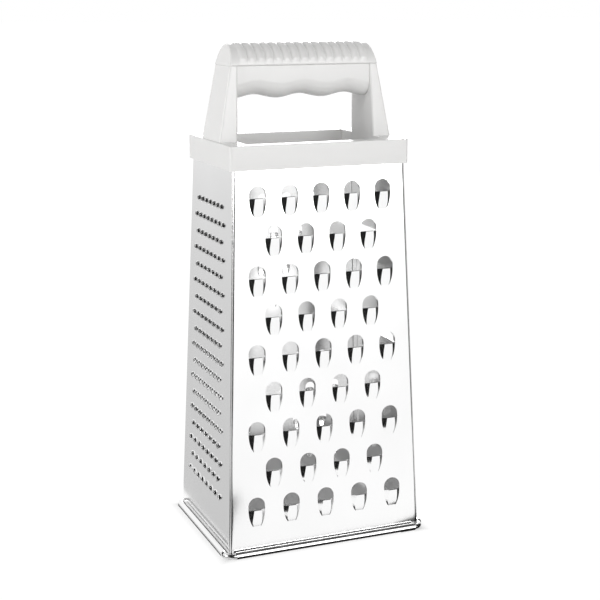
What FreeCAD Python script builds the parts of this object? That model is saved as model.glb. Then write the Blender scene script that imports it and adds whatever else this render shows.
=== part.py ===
# Box grater: four punched steel panels on a wired rim, under a moulded plastic handle.
# Millimetres, +Z up, origin on the floor under the middle of the grater.
# The coarse panel faces -Y, the fine panel -X, the shredding panel +Y and the slicing panel +X.
import FreeCAD
import Part
import Sketcher
import math
import os

from FreeCAD import Placement, Rotation, Vector

# Driving dimensions: alias, value, meaning
SIZES = [
    ("base_width", 100.0, "between the side panels' outer faces, at the floor"),
    ("base_depth", 75.0, "between the front and back panels' outer faces, at the floor"),
    ("top_width", 86.0, "between the side panels' outer faces, at the collar's lower edge"),
    ("top_depth", 59.0, "between the front and back panels' outer faces, at the collar's lower edge"),
    ("collar_lower", 183.0, "height of the collar's lower edge"),
    ("sheet", 0.5, "steel thickness"),
    ("flange", 5.0, "depth of the wide panels' corner flanges"),
    ("corner_bend", 0.9, "outer radius of the corner bends"),
    ("corner_gap", 0.6, "how far a narrow panel's edge stands back from the wide panel's face"),
    ("lap_clearance", 0.05, "between a flange and the panel it is welded to"),
    ("overrun", 1.0, "how far a cutting shape runs past what it cuts"),
    ("wire_diameter", 2.6, "rim wire"),
    ("wire_clearance", 0.1, "between the wire and the rolled edge around it"),
    ("wire_bend", 4.3, "centre line radius of the wire's corners"),
    ("wire_bend_steps", 3, "straight steps in each bend"),
    ("rim_flat", 0.15, "how much of the roll's underside is pressed flat"),
    ("roll_turn", 305.0, "degrees of the rolled edge"),
    ("coarse_width", 8.4, "coarse tooth, across"),
    ("coarse_flat", 4.4, "flat top of the tooth at its lip"),
    ("coarse_opening", 6.0, "from lip to the top of the opening"),
    ("coarse_scoop", 9.3, "from lip to the tip of the scoop"),
    ("coarse_rise", 1.9, "lip's height over the panel"),
    ("coarse_arch_steps", 3, "flat steps in each quarter of the opening's round top"),
    ("coarse_rows", 9, "count"),
    ("coarse_columns", 5, "count in the lowest row; every other row has one less"),
    ("coarse_row_pitch", 18.46, "between rows"),
    ("coarse_lowest", 22.6, "lowest row's lip above the floor, along the panel"),
    ("coarse_pitch_share", 0.183, "tooth pitch as a share of the panel's width at that row"),
    ("shred_width", 5.0, "shredding tooth, as the coarse one"),
    ("shred_flat", 2.6, "flat top of the tooth at its lip"),
    ("shred_opening", 3.6, "from lip to the top of the opening"),
    ("shred_scoop", 5.6, "from lip to the tip of the scoop"),
    ("shred_rise", 1.3, "lip's height over the panel"),
    ("shred_arch_steps", 2, "flat steps in each quarter of the opening's round top"),
    ("shred_rows", 9, "count"),
    ("shred_columns", 6, "count in the lowest row"),
    ("shred_row_pitch", 17.2, "between rows"),
    ("shred_lowest", 22.0, "lowest row's lip above the floor"),
    ("shred_pitch_share", 0.15, "share of the panel's width"),
    ("slice_width", 46.0, "slicing blade, across"),
    ("slice_flat", 41.6, "flat top of the blade at its edge"),
    ("slice_opening", 6.0, "from edge to the top of the slot"),
    ("slice_scoop", 12.0, "from edge to the foot of the ramp"),
    ("slice_rise", 2.2, "edge's height over the panel"),
    ("slice_arch_steps", 3, "flat steps in each upper corner of the slot"),
    ("slice_rows", 3, "count"),
    ("slice_row_pitch", 50.0, "between rows"),
    ("slice_lowest", 40.0, "lowest blade's edge above the floor"),
    ("fine_hole", 2.2, "side of a burr's square hole"),
    ("fine_foot", 3.6, "side of a burr's foot"),
    ("fine_rise", 1.2, "burr's height over the panel"),
    ("fine_rows", 18, "count"),
    ("fine_columns", 8, "count in the lowest row; every other row has one less"),
    ("fine_row_pitch", 8.2, "between rows"),
    ("fine_lowest", 25.6, "lowest row above the floor, along the panel"),
    ("fine_pitch_share", 0.0915, "burr pitch as a share of the panel's width at that row"),
    ("fine_offset", 1.4, "how far the burrs sit towards the back edge"),
    ("collar_height", 11.4, "collar, top to lower edge"),
    ("collar_end_wall", 1.5, "collar skirt under the legs"),
    ("collar_side_wall", 1.0, "collar skirt at front and back"),
    ("collar_plate", 2.0, "collar's top"),
    ("collar_round", 1.5, "collar's upright edges"),
    ("seat_clearance", 0.1, "between the panels and the collar"),
    ("window_rail", 6.4, "collar's top in front of the window, and behind it"),
    ("window_wall", 1.4, "wall round the window"),
    ("window_skirt", 7.0, "how deep that wall reaches, from the collar's top"),
    ("hook_width", 10.0, "snap hook that holds a panel"),
    ("hook_thickness", 1.4, "its finger"),
    ("hook_drop", 8.2, "its length below the collar's plate"),
    ("hook_nose", 2.0, "height of its barb"),
    ("hook_clearance", 0.2, "between a hook and its panel"),
    ("hook_spread_wide", 44.0, "between the two hooks of a wide panel"),
    ("hook_spread_narrow", 36.0, "between the two hooks of a narrow panel"),
    ("leg_height", 34.4, "from the collar's top to the cover's seam"),
    ("leg_foot", 9.0, "leg's thickness at the collar"),
    ("leg_head", 3.8, "leg's thickness at the seam"),
    ("leg_foot_depth", 25.8, "leg, front to back, at the collar"),
    ("leg_head_depth", 21.5, "leg and cover, front to back, at the seam"),
    ("leg_wall", 2.0, "wall round the leg's core"),
    ("leg_core", 20.0, "height of the leg's hollow over the collar's top"),
    ("leg_ledge", 1.1, "collar's top outside a leg"),
    ("gap_taper", 2.3, "how much shorter the finger gap is at the seam than at the collar"),
    ("grip_width", 19.4, "lower grip, front to back"),
    ("grip_drop", 14.5, "from the seam to the middle of the underside's wave"),
    ("grip_wave", 0.9, "height of the finger grooves, from middle to crest"),
    ("grip_grooves", 3, "count"),
    ("grip_round", 7.5, "lower edges of the grip"),
    ("grip_round_steps", 6, "flats in each of them"),
    ("grip_wall", 2.2, "wall of the hollow grip"),
    ("trough_depth", 9.0, "hollow of the grip"),
    ("trough_end", 3.35, "hollow's end to the leg"),
    ("cover_rise", 9.7, "cover over its seam, between ribs"),
    ("cover_wall", 1.8, "wall of the cover"),
    ("cover_steps", 12, "flats across the cover's arch"),
    ("rib_rise", 0.7, "rib's height at the top"),
    ("rib_count", 15, "count"),
    ("rib_margin", 4.5, "plain stretch at each end of the ribs"),
    ("tab_length", 12.0, "snap tab under the cover"),
    ("tab_thickness", 1.6, "snap tab"),
    ("tab_depth", 6.0, "how far the tab reaches into the hollow grip"),
    ("tab_end", 6.0, "tab to the hollow's end"),
    ("tab_clearance", 0.2, "between a tab and the hollow's wall"),
]

# Form of a scoop from lip to tip: place along it, width, and height over the panel's face
scoop_shares = {
    "coarse": ((0.0, 1.0, 1.0), (0.55, 0.84, 0.62), (1.0, 0.3, -0.12)),
    "shred": ((0.0, 1.0, 1.0), (1.0, 0.4, -0.12)),
    "slice": ((0.0, 1.0, 1.0), (1.0, 0.88, -0.12)),
}
# How deep a formed tooth is rooted in the sheet
root_share = 0.8
# How far a tab runs up into the cover's wall
tab_root_share = 0.25
# Corners of one finger groove's underside: place along it, and height, from -1 at a bump to 1 in the groove
groove_shares = ((0.125, -1), (0.375, 1), (0.625, 1), (0.875, -1))

X_AXIS = Vector(1, 0, 0)
Y_AXIS = Vector(0, 1, 0)
Z_AXIS = Vector(0, 0, 1)

doc = FreeCAD.newDocument("box_grater")
sheet = doc.addObject("Spreadsheet::Sheet", "Sizes")
filled_rows = []


def cell(alias, value, meaning):
    """Write one named size to the sheet's next row, and hand it back."""
    filled_rows.append(alias)
    row = len(filled_rows)
    sheet.set(f"A{row}", meaning)
    sheet.set(f"B{row}", repr(value))
    sheet.setAlias(f"B{row}", alias)
    return value


size = {alias: cell(alias, value, meaning) for alias, value, meaning in SIZES}


def derive(alias, value, meaning):
    """Add a size that follows from the driving ones."""
    size[alias] = cell(alias, value, meaning)
    return value


# Lean of the panels, and heights that several pieces share
wide_lean = math.atan2((size["base_depth"] - size["top_depth"]) / 2, size["collar_lower"])
narrow_lean = math.atan2((size["base_width"] - size["top_width"]) / 2, size["collar_lower"])
wire_radius = size["wire_diameter"] / 2
roll_inner = derive("roll_inner", wire_radius + size["wire_clearance"], "rolled edge, inner radius")
roll_outer = derive("roll_outer", roll_inner + size["sheet"], "rolled edge, outer radius")
wire_height = derive("wire_height", roll_outer - size["rim_flat"], "wire's centre over the floor")
collar_top = derive("collar_top", size["collar_lower"] + size["collar_height"], "top of the collar")
plate_under = derive("plate_under", collar_top - size["collar_plate"], "underside of the collar's plate")
panel_top = derive("panel_top", plate_under - size["seat_clearance"], "top edge of the panels")
seam_height = derive("seam_height", collar_top + size["leg_height"], "seam under the cover")
end_wall = size["seat_clearance"] + size["collar_end_wall"]
side_wall = size["seat_clearance"] + size["collar_side_wall"]
collar_width = derive("collar_width", size["top_width"] + 2 * end_wall, "collar, across")
collar_depth = derive("collar_depth", size["top_depth"] + 2 * side_wall, "collar, front to back")
derive("window_depth", collar_depth - 2 * size["window_rail"], "window in the collar's top, front to back")
gap_foot = derive("gap_foot", collar_width - 2 * size["leg_ledge"] - 2 * size["leg_foot"],
                  "finger gap's length at the collar, and the window's")
gap_head = derive("gap_head", gap_foot - size["gap_taper"], "finger gap's length at the seam")
trough_length = derive("trough_length", gap_head - 2 * size["trough_end"], "hollow of the grip")
tab_spread = trough_length - 2 * size["tab_end"] - size["tab_length"]
derive("tab_spread", tab_spread, "between the tabs, along the grip")
ribbed_length = gap_head + 2 * size["leg_head"] - 2 * size["rib_margin"]
derive("rib_pitch", ribbed_length / size["rib_count"], "between ribs")
roll_end_gap = derive("roll_end_gap", size["wire_bend"] - roll_inner, "roll's end to the panel's corner")


class Face:
    """One side of the grater: its plane leans inwards, and its sides run together upwards."""

    def __init__(self, key, base, top, stand, lean, set_back, hook_spread, turn):
        self.key = key
        self.lean = lean
        self.hook_places = (-hook_spread / 2, hook_spread / 2)
        self.half_base = base / 2 - set_back
        self.narrowing = (base - top) / 2 / size["collar_lower"] * math.cos(lean)
        self.low = (wire_height - roll_inner * math.sin(lean)) / math.cos(lean)
        self.high = panel_top / math.cos(lean)
        upright = Rotation(X_AXIS, 90 - math.degrees(lean))
        turned = Rotation(Z_AXIS, turn)
        self.placement = Placement(turned.multVec(Vector(0, -stand, 0)), turned.multiply(upright))
        derive(key + "_low", self.low, "lower end of the flat sheet, along the panel")
        derive(key + "_high", self.high, "upper end of the sheet, along the panel")
        derive(key + "_foot_half", self.half(self.low), "half width of the sheet at its lower end")
        derive(key + "_head_half", self.half(self.high), "half width of the sheet at its upper end")
        derive(key + "_roll_length", base - 2 * roll_end_gap, "length of the rolled edge")
        reach = stand - self.low * math.sin(lean) + roll_inner * math.cos(lean)
        self.wire_reach = derive(key + "_wire_reach", reach, "wire's centre from the middle")

    def half(self, along):
        """Half width of the sheet, at a place along the panel from the floor."""
        return self.half_base - self.narrowing * along


flange_set_back = (size["sheet"] + size["lap_clearance"]) / math.cos(narrow_lean)
wide = (size["base_width"], size["top_width"], size["base_depth"] / 2, wide_lean, flange_set_back)
narrow = (size["base_depth"], size["top_depth"], size["base_width"] / 2, narrow_lean, size["corner_gap"])
coarse_face = Face("coarse", *wide, size["hook_spread_wide"], 0)
shred_face = Face("shred", *wide, size["hook_spread_wide"], 180)
fine_face = Face("fine", *narrow, size["hook_spread_narrow"], -90)
slice_face = Face("slice", *narrow, size["hook_spread_narrow"], 90)


def bow(half_depth, rise):
    """Radius of a bow over the cover's seam, and how far below the seam its axis lies."""
    radius = (half_depth ** 2 + rise ** 2) / 2 / rise
    return radius, radius - rise


inside_depth = size["leg_head_depth"] / 2 - size["cover_wall"]
inside_radius, inside_sunk = bow(inside_depth, size["cover_rise"] - size["cover_wall"])
tab_outer = derive("tab_outer", size["grip_width"] / 2 - size["grip_wall"] - size["tab_clearance"],
                   "outer face of a tab from the middle")
tab_inner = derive("tab_inner", tab_outer - size["tab_thickness"], "inner face of a tab from the middle")
ceiling = math.sqrt(inside_radius ** 2 - tab_inner ** 2) - inside_sunk
derive("tab_root", ceiling + tab_root_share * size["cover_wall"], "top of a tab, inside the cover's wall")
doc.recompute()


def value(expression):
    return float(sheet.evalExpression(expression))


def bind(item, **expressions):
    """Tie properties of a document object to the sheet."""
    for prop, expression in expressions.items():
        item.setExpression(prop, expression)


def solid_object(name, shape):
    """A document object for a shape that part features can't make."""
    item = doc.addObject("Part::Feature", name)
    item.Shape = shape
    return item


def boolean(kind, name, base, tools):
    """Fuse tools to a base, or cut them from it."""
    if kind == "Fuse":
        item = doc.addObject("Part::MultiFuse", name)
        item.Shapes = [base] + tools
        return item
    group = doc.addObject("Part::Compound", name + "_cuts")
    group.Links = tools
    item = doc.addObject("Part::" + kind, name)
    item.Base = base
    item.Tool = group
    return item


def block(name, low, high):
    """A box between two corners given as expressions."""
    item = doc.addObject("Part::Box", name)
    for prop, start, end in zip(("Length", "Width", "Height"), low, high):
        item.setExpression(prop, f"({end}) - ({start})")
    for axis, start in zip("xyz", low):
        item.setExpression(f"Placement.Base.{axis}", start)
    return item


def tapered_block(name, floor, foot, height, head):
    """A block with a rectangular foot and head, each (low x, high x, half depth), standing upright."""
    item = doc.addObject("Part::Wedge", name)
    bind(item, Xmin=foot[0], Xmax=foot[1], Zmin=f"-({foot[2]})", Zmax=foot[2])
    bind(item, X2min=head[0], X2max=head[1], Z2min=f"-({head[2]})", Z2max=head[2])
    bind(item, Ymin="0", Ymax=height)
    item.Placement = Placement(Vector(0, 0, value(floor)), Rotation(X_AXIS, 90))
    item.setExpression("Placement.Base.z", floor)
    return item


def sketch_on(body, name, role):
    """A sketch on one of its body's own origin planes."""
    plane = next(item for item in body.Origin.OriginFeatures if item.Role == role)
    sketch = body.newObject("Sketcher::SketchObject", name)
    sketch.AttachmentSupport = (plane, [""])
    sketch.MapMode = "FlatFace"
    return sketch


def pin_point(sketch, edge, end, x, y):
    """Hold one end of an edge at a place given as expressions."""
    for kind, expression in (("DistanceX", x), ("DistanceY", y)):
        held = Sketcher.Constraint(kind, -1, 1, edge, end, value(expression))
        index = sketch.addConstraint(held)
        sketch.setExpression(f"Constraints[{index}]", expression)


def straight_outline(sketch, corners):
    """A closed outline of straight lines through corners given as expressions."""
    points = [Vector(value(x), value(y), 0) for x, y in corners]
    for start, end in zip(points, points[1:] + points[:1]):
        sketch.addGeometry(Part.LineSegment(start, end))
    for edge, (x, y) in enumerate(corners):
        following = (edge + 1) % len(corners)
        sketch.addConstraint(Sketcher.Constraint("Coincident", edge, 2, following, 1))
        pin_point(sketch, edge, 1, x, y)


def panel_blank(face, flanged):
    """The flat sheet, with a flange bent back along each side of a wide panel."""
    key = "Sizes." + face.key
    body = doc.addObject("PartDesign::Body", face.key + "_blank")
    outline = sketch_on(body, face.key + "_outline", "XY_Plane")
    low, high = key + "_low", key + "_high"
    foot, head = key + "_foot_half", key + "_head_half"
    straight_outline(outline, [("-" + foot, low), (foot, low), (head, high), ("-" + head, high)])
    pad = body.newObject("PartDesign::Pad", face.key + "_sheet")
    pad.Profile = outline
    pad.Reversed = True
    pad.setExpression("Length", "Sizes.flange" if flanged else "Sizes.sheet")
    doc.recompute()
    if flanged:
        hollow_out(body, face)
    return body


def hollow_out(body, face):
    """Leave the sheet and its two flanges, and bend the corners between them."""
    key = "Sizes." + face.key
    lean_in = f"({key}_foot_half - {key}_head_half) / ({key}_high - {key}_low) * Sizes.overrun"
    foot = f"{key}_foot_half + {lean_in} - Sizes.sheet"
    head = f"{key}_head_half - {lean_in} - Sizes.sheet"
    low, high = key + "_low - Sizes.overrun", key + "_high + Sizes.overrun"
    channel = sketch_on(body, face.key + "_channel", "XY_Plane")
    channel.setExpression("AttachmentOffset.Base.z", "-Sizes.flange")
    corners = [(f"-({foot})", low), (foot, low), (head, high), (f"-({head})", high)]
    straight_outline(channel, corners)
    pocket = body.newObject("PartDesign::Pocket", face.key + "_inside")
    pocket.Profile = channel
    pocket.Reversed = True
    pocket.setExpression("Length", "Sizes.flange - Sizes.sheet")
    doc.recompute()
    bends = []
    for index, edge in enumerate(pocket.Shape.Edges, start=1):
        box = edge.BoundBox
        if min(abs(box.ZMin), abs(box.ZMax)) > size["sheet"] or box.ZLength > size["sheet"]:
            continue
        if box.ZMax > -size["sheet"] / 2 and box.YLength > box.XLength:
            bends.append(f"Edge{index}")
    bend = body.newObject("PartDesign::Fillet", face.key + "_bends")
    bend.Base = (pocket, bends)
    bend.setExpression("Radius", "Sizes.corner_bend")
    doc.recompute()


def rolled_edge(face):
    """The lower edge of the sheet, curled outwards round the wire."""
    length = f"Sizes.{face.key}_roll_length"
    curl = doc.addObject("Part::Cylinder", face.key + "_curl")
    bind(curl, Radius="Sizes.roll_outer", Height=length, Angle="Sizes.roll_turn")
    bore = doc.addObject("Part::Cylinder", face.key + "_bore")
    bind(bore, Radius="Sizes.roll_inner", Height=length + " + 2 * Sizes.overrun")
    along = Rotation(-Z_AXIS, -Y_AXIS, -X_AXIS, "XYZ")
    half_length = size[face.key + "_roll_length"] / 2
    curl.Placement = Placement(Vector(half_length, face.low, roll_inner), along)
    bore.Placement = Placement(Vector(half_length + size["overrun"], face.low, roll_inner), along)
    roll = doc.addObject("Part::Cut", face.key + "_roll")
    roll.Base = curl
    roll.Tool = bore
    return roll


def closed_wire(points):
    return Part.makePolygon(points + points[:1])


def faceted_solid(sections, twisted=False):
    """A solid with flat faces through sections that have as many corners each.

    Sides that are twisted are split into triangles.
    """
    outlines = [sections[0][::-1], sections[-1]]
    for near, far in zip(sections, sections[1:]):
        for corner in range(len(near)):
            side = [near[corner - 1], near[corner], far[corner], far[corner - 1]]
            outlines += [side[:3], side[2:] + side[:1]] if twisted else [side]
    faces = [Part.Face(closed_wire(outline)) for outline in outlines]
    return Part.makeSolid(Part.makeShell(faces))


def scoop_solid(key, thinned, depth, lead):
    """A scoop standing on the panel's face, from its lip at y = 0 down to its tip.

    thinned takes that much off every face, for the hollow inside; depth is how far the shape
    reaches below the panel's face, and lead how far it runs on past the lip.
    """
    width, flat, rise, length = (size[f"{key}_{name}"] for name in ("width", "flat", "rise", "scoop"))
    side_run = (width - flat) / 2 / rise
    side_off = thinned * math.hypot(1, side_run)
    stations = [(-place * length, share * width / 2 - side_off, high * rise - thinned)
                for place, share, high in scoop_shares[key]]
    if lead:
        stations.insert(0, (lead, *stations[0][1:]))
    sections = []
    for along, half, high in stations:
        foot = half + depth * side_run
        crown = half - high * side_run
        sections.append([Vector(-foot, along, -depth), Vector(foot, along, -depth),
                         Vector(crown, along, high), Vector(-crown, along, high)])
    return faceted_solid(sections)


def opening_outline(key, height):
    """The opening over a lip: straight sides under a top that is rounded in flat steps."""
    half, opening = size[key + "_width"] / 2, size[key + "_opening"]
    corner = min(half, opening / 2) if half > opening else half
    steps = int(size[key + "_arch_steps"])
    points = [Vector(-half, 0, height), Vector(half, 0, height)]
    for side in (1, -1):
        for step in range(steps + 1):
            angle = math.pi / 2 * (step if side > 0 else steps - step) / steps
            across = side * (half - corner + corner * math.cos(angle))
            point = Vector(across, opening - corner + corner * math.sin(angle), height)
            if not point.isEqual(points[-1], size["lap_clearance"]):
                points.append(point)
    return points


def scoop_pair(key):
    """The solid bump of one tooth, and the punch that hollows it and opens it above the lip."""
    below = size["sheet"] + size["overrun"]
    bump = scoop_solid(key, 0, root_share * size["sheet"], 0)
    hollow = scoop_solid(key, size["sheet"], below, size["sheet"])
    arch = faceted_solid([opening_outline(key, height) for height in (-below, size["overrun"])])
    return bump, arch.fuse(hollow)


def burr_pair():
    """The four-sided burr round one pierced hole, and the hole's punch."""
    depth = root_share * size["sheet"]
    rise, hole, foot = size["fine_rise"], size["fine_hole"], size["fine_foot"]
    root = foot + (foot - hole) * depth / rise

    def square(side, height):
        reach = side * math.sqrt(0.5)
        return [Vector(reach, 0, height), Vector(0, reach, height),
                Vector(-reach, 0, height), Vector(0, -reach, height)]

    below = size["sheet"] + size["overrun"]
    bump = faceted_solid([square(root, -depth), square(hole, rise)])
    punch = faceted_solid([square(hole, -below), square(hole, rise + size["overrun"])])
    return bump, punch


def staggered_places(face, rows, columns, lowest, row_pitch, pitch_share, offset=0):
    """Places on a panel in rows that widen with it, every other row shifted by half a pitch."""
    places = []
    for row in range(int(rows)):
        along = lowest + row * row_pitch
        pitch = pitch_share * 2 * face.half(along)
        in_row = int(columns) - row % 2
        start = offset - (in_row - 1) / 2 * pitch
        places += [Vector(start + column * pitch, along, 0) for column in range(in_row)]
    return places


def copies(shape, places):
    return Part.makeCompound([shape.translated(place) for place in places])


def hook_slots(face):
    """Slots near the panel's top edge, for the collar's snap hooks."""
    slots = []
    barb_low = plate_under - size["hook_drop"]
    for index, across in enumerate(face.hook_places):
        slot = doc.addObject("Part::Box", f"{face.key}_slot{index}")
        slot.setExpression("Length", "Sizes.hook_width + 2 * Sizes.hook_clearance")
        slot.setExpression("Width", "Sizes.hook_nose + 2 * Sizes.hook_clearance")
        slot.setExpression("Height", "Sizes.sheet + 2 * Sizes.overrun")
        start = across - size["hook_width"] / 2 - size["hook_clearance"]
        along = barb_low / math.cos(face.lean) - size["hook_clearance"]
        slot.Placement.Base = Vector(start, along, -size["sheet"] - size["overrun"])
        slots.append(slot)
    return slots


def floor_slab(face):
    """What lies under the floor, in the panel's own frame, to press the roll's underside flat."""
    slab = doc.addObject("Part::Box", face.key + "_floor")
    bind(slab, Length="2 * Sizes.base_width", Width="2 * Sizes.base_width", Height="Sizes.roll_outer")
    corner = Vector(-size["base_width"], -size["base_width"], -roll_outer)
    slab.Placement = face.placement.inverse().multiply(Placement(corner, Rotation()))
    return slab


def punched_panel(label, face, flanged, pair, places):
    """One whole panel: blank, rolled edge, formed teeth, and everything punched through it."""
    bump, punch = pair
    bumps = solid_object(face.key + "_bumps", copies(bump, places))
    punches = solid_object(face.key + "_punches", copies(punch, places))
    formed = boolean("Fuse", face.key + "_formed", panel_blank(face, flanged), [rolled_edge(face), bumps])
    cuts = [punches, floor_slab(face)] + hook_slots(face)
    panel = boolean("Cut", label, formed, cuts)
    panel.Label = label
    panel.Placement = face.placement
    return panel


def tooth_places(face):
    names = ("rows", "columns", "lowest", "row_pitch", "pitch_share")
    return staggered_places(face, *(size[f"{face.key}_{name}"] for name in names))


def slice_places():
    rows = range(int(size["slice_rows"]))
    return [Vector(0, size["slice_lowest"] + row * size["slice_row_pitch"], 0) for row in rows]


def fine_places():
    names = ("rows", "columns", "lowest", "row_pitch", "pitch_share")
    return staggered_places(fine_face, *(size[f"fine_{name}"] for name in names), -size["fine_offset"])


def rim_wire():
    """The wire ring: round sections along a rectangle with bent corners."""
    steps = int(size["wire_bend_steps"])
    bend = size["wire_bend"]
    centre_x = fine_face.wire_reach - bend
    centre_y = coarse_face.wire_reach - bend
    sections = []
    for corner, (side_x, side_y) in enumerate(((1, 1), (-1, 1), (-1, -1), (1, -1))):
        for step in range(steps + 1):
            angle = math.pi / 2 * (corner + step / steps)
            x = side_x * centre_x + bend * math.cos(angle)
            y = side_y * centre_y + bend * math.sin(angle)
            heading = Vector(-math.sin(angle), math.cos(angle), 0)
            sections.append(Part.Wire(Part.makeCircle(wire_radius, Vector(x, y, wire_height), heading)))
    return solid_object("rim_wire", Part.makeLoft(sections, True, True, True))


def collar_shell():
    """The collar's plate and skirt, open below."""
    body = doc.addObject("PartDesign::Body", "collar_block")
    outline = sketch_on(body, "collar_outline", "XY_Plane")
    outline.setExpression("AttachmentOffset.Base.z", "Sizes.collar_lower")
    half_x, half_y = "Sizes.collar_width / 2", "Sizes.collar_depth / 2"
    left, front = "-" + half_x, "-" + half_y
    straight_outline(outline, [(left, front), (half_x, front), (half_x, half_y), (left, half_y)])
    pad = body.newObject("PartDesign::Pad", "collar_pad")
    pad.Profile = outline
    pad.setExpression("Length", "Sizes.collar_height")
    doc.recompute()
    upright = [f"Edge{index}" for index, edge in enumerate(pad.Shape.Edges, start=1)
               if edge.BoundBox.ZLength > size["collar_height"] / 2]
    rounded = body.newObject("PartDesign::Fillet", "collar_corners")
    rounded.Base = (pad, upright)
    rounded.setExpression("Radius", "Sizes.collar_round")
    seat_x = "(Sizes.top_width / 2 + Sizes.seat_clearance)"
    seat_y = "(Sizes.top_depth / 2 + Sizes.seat_clearance)"
    low = ("-" + seat_x, "-" + seat_y, "Sizes.collar_lower - Sizes.overrun")
    seat = block("collar_seat", low, (seat_x, seat_y, "Sizes.plate_under"))
    return boolean("Cut", "collar_shell", body, [seat])


def snap_hook(name, face, across):
    """A finger under the collar's plate, whose barb catches a slot of the panel."""
    reach = -face.placement.Base.Length

    def sheet_at(height, inner):
        behind = size["sheet"] / math.cos(face.lean) if inner else 0
        return reach + height * math.tan(face.lean) + behind

    front = sheet_at(plate_under, True) + size["hook_clearance"]
    back = front + size["hook_thickness"]
    low = plate_under - size["hook_drop"]
    barb_top = low + size["hook_nose"]
    nose = sheet_at(barb_top, False)
    start = across - size["hook_width"] / 2
    profile = [(front, plate_under), (front, barb_top), (nose, barb_top)]
    profile += [(front, low), (back, low), (back, plate_under)]
    points = [Vector(start, y, z) for y, z in profile]
    hook = Part.Face(closed_wire(points)).extrude(Vector(size["hook_width"], 0, 0))
    item = solid_object(name, hook)
    outwards = face.placement.Base
    turn = math.degrees(math.atan2(outwards.x, -outwards.y))
    item.Placement = Placement(Vector(), Rotation(Z_AXIS, turn))
    return item


def leg_blocks(side):
    """One leg of the handle, and the core that hollows it from below."""
    name = "right" if side > 0 else "left"
    share = "(Sizes.leg_core / Sizes.leg_height)"
    inner_top = f"(Sizes.gap_foot / 2 + (Sizes.gap_head - Sizes.gap_foot) / 2 * {share})"
    thick_top = f"(Sizes.leg_foot + (Sizes.leg_head - Sizes.leg_foot) * {share})"
    deep_top = f"(Sizes.leg_foot_depth + (Sizes.leg_head_depth - Sizes.leg_foot_depth) * {share}) / 2"
    wall = "Sizes.leg_wall"

    def span(inner, thickness):
        low, high = inner, f"{inner} + {thickness}"
        return (low, high) if side > 0 else (f"-({high})", f"-({low})")

    foot = (*span("Sizes.gap_foot / 2", "Sizes.leg_foot"), "Sizes.leg_foot_depth / 2")
    head = (*span("Sizes.gap_head / 2", "Sizes.leg_head"), "Sizes.leg_head_depth / 2")
    leg = tapered_block(name + "_leg", "Sizes.collar_top", foot, "Sizes.leg_height", head)
    core_foot = (*span(f"(Sizes.gap_foot / 2 + {wall})", f"(Sizes.leg_foot - 2 * {wall})"),
                 f"Sizes.leg_foot_depth / 2 - {wall}")
    core_head = (*span(f"({inner_top} + {wall} / 2)", f"({thick_top} - {wall})"), f"{deep_top} - {wall}")
    rise = "Sizes.leg_core + Sizes.collar_plate"
    core = tapered_block(name + "_core", "Sizes.plate_under", core_foot, rise, core_head)
    return leg, core


def arc_points(x, across, height, radius, start, end, steps):
    """Points of an arc across the grip, at one place along it, from one angle to another."""
    angles = [start + (end - start) * step / steps for step in range(int(steps) + 1)]
    places = [(across + radius * math.cos(angle), height + radius * math.sin(angle)) for angle in angles]
    return [Vector(x, y, z) for y, z in places]


def grip_bar():
    """The lower grip: a rounded bar whose underside waves in finger grooves."""
    half_length = size["gap_foot"] / 2
    half_width = size["grip_width"] / 2
    rounding = size["grip_round"]
    grooves = int(size["grip_grooves"])
    period = size["gap_foot"] / grooves
    stations = [(-half_length, -1)]
    for groove in range(grooves):
        stations += [((groove + place) * period - half_length, high) for place, high in groove_shares]
    stations.append((half_length, -1))
    steps = size["grip_round_steps"]
    sections = []
    for x, high in stations:
        under = seam_height - size["grip_drop"] + high * size["grip_wave"]
        middle, level = half_width - rounding, under + rounding
        front = arc_points(x, -middle, level, rounding, math.pi, math.pi * 1.5, steps)
        back = arc_points(x, middle, level, rounding, -math.pi / 2, 0, steps)
        top = [Vector(x, half_width, seam_height), Vector(x, -half_width, seam_height)]
        sections.append(closed_wire(top + front + back))
    return solid_object("grip_bar", Part.makeLoft(sections, True, True))


def handle_frame():
    """Collar, legs and lower grip: one moulding."""
    window_x, window_y = "Sizes.gap_foot / 2", "Sizes.window_depth / 2"
    wall_x, wall_y = f"({window_x} + Sizes.window_wall)", f"({window_y} + Sizes.window_wall)"
    wall_low = "Sizes.collar_top - Sizes.window_skirt"
    wall = block("window_wall", ("-" + wall_x, "-" + wall_y, wall_low), (wall_x, wall_y, "Sizes.collar_top"))
    opening_low = (f"-({window_x})", f"-({window_y})", "Sizes.collar_lower - Sizes.overrun")
    window = block("window", opening_low, (window_x, window_y, "Sizes.collar_top"))
    legs, cores = zip(*(leg_blocks(side) for side in (-1, 1)))
    hooks = [snap_hook(f"hook_{face.key}_{index}", face, across)
             for face in (coarse_face, shred_face, fine_face, slice_face)
             for index, across in enumerate(face.hook_places)]
    trough_y = "(Sizes.grip_width / 2 - Sizes.grip_wall)"
    trough_low = ("-Sizes.trough_length / 2", "-" + trough_y, "Sizes.seam_height - Sizes.trough_depth")
    trough_high = ("Sizes.trough_length / 2", trough_y, "Sizes.seam_height + Sizes.overrun")
    trough = block("trough", trough_low, trough_high)
    solid = boolean("Fuse", "handle_solid", collar_shell(), [wall, *legs, grip_bar(), *hooks])
    frame = boolean("Cut", "handle_frame", solid, [window, trough, *cores])
    frame.Label = "handle_frame"
    return frame


def arch_section(x, half_depth, rise):
    """Corners of a bow over the seam."""
    radius, sunk = bow(half_depth, rise)
    start = math.atan2(sunk, half_depth)
    return arc_points(x, 0, seam_height - sunk, radius, start, math.pi - start, size["cover_steps"])


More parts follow.
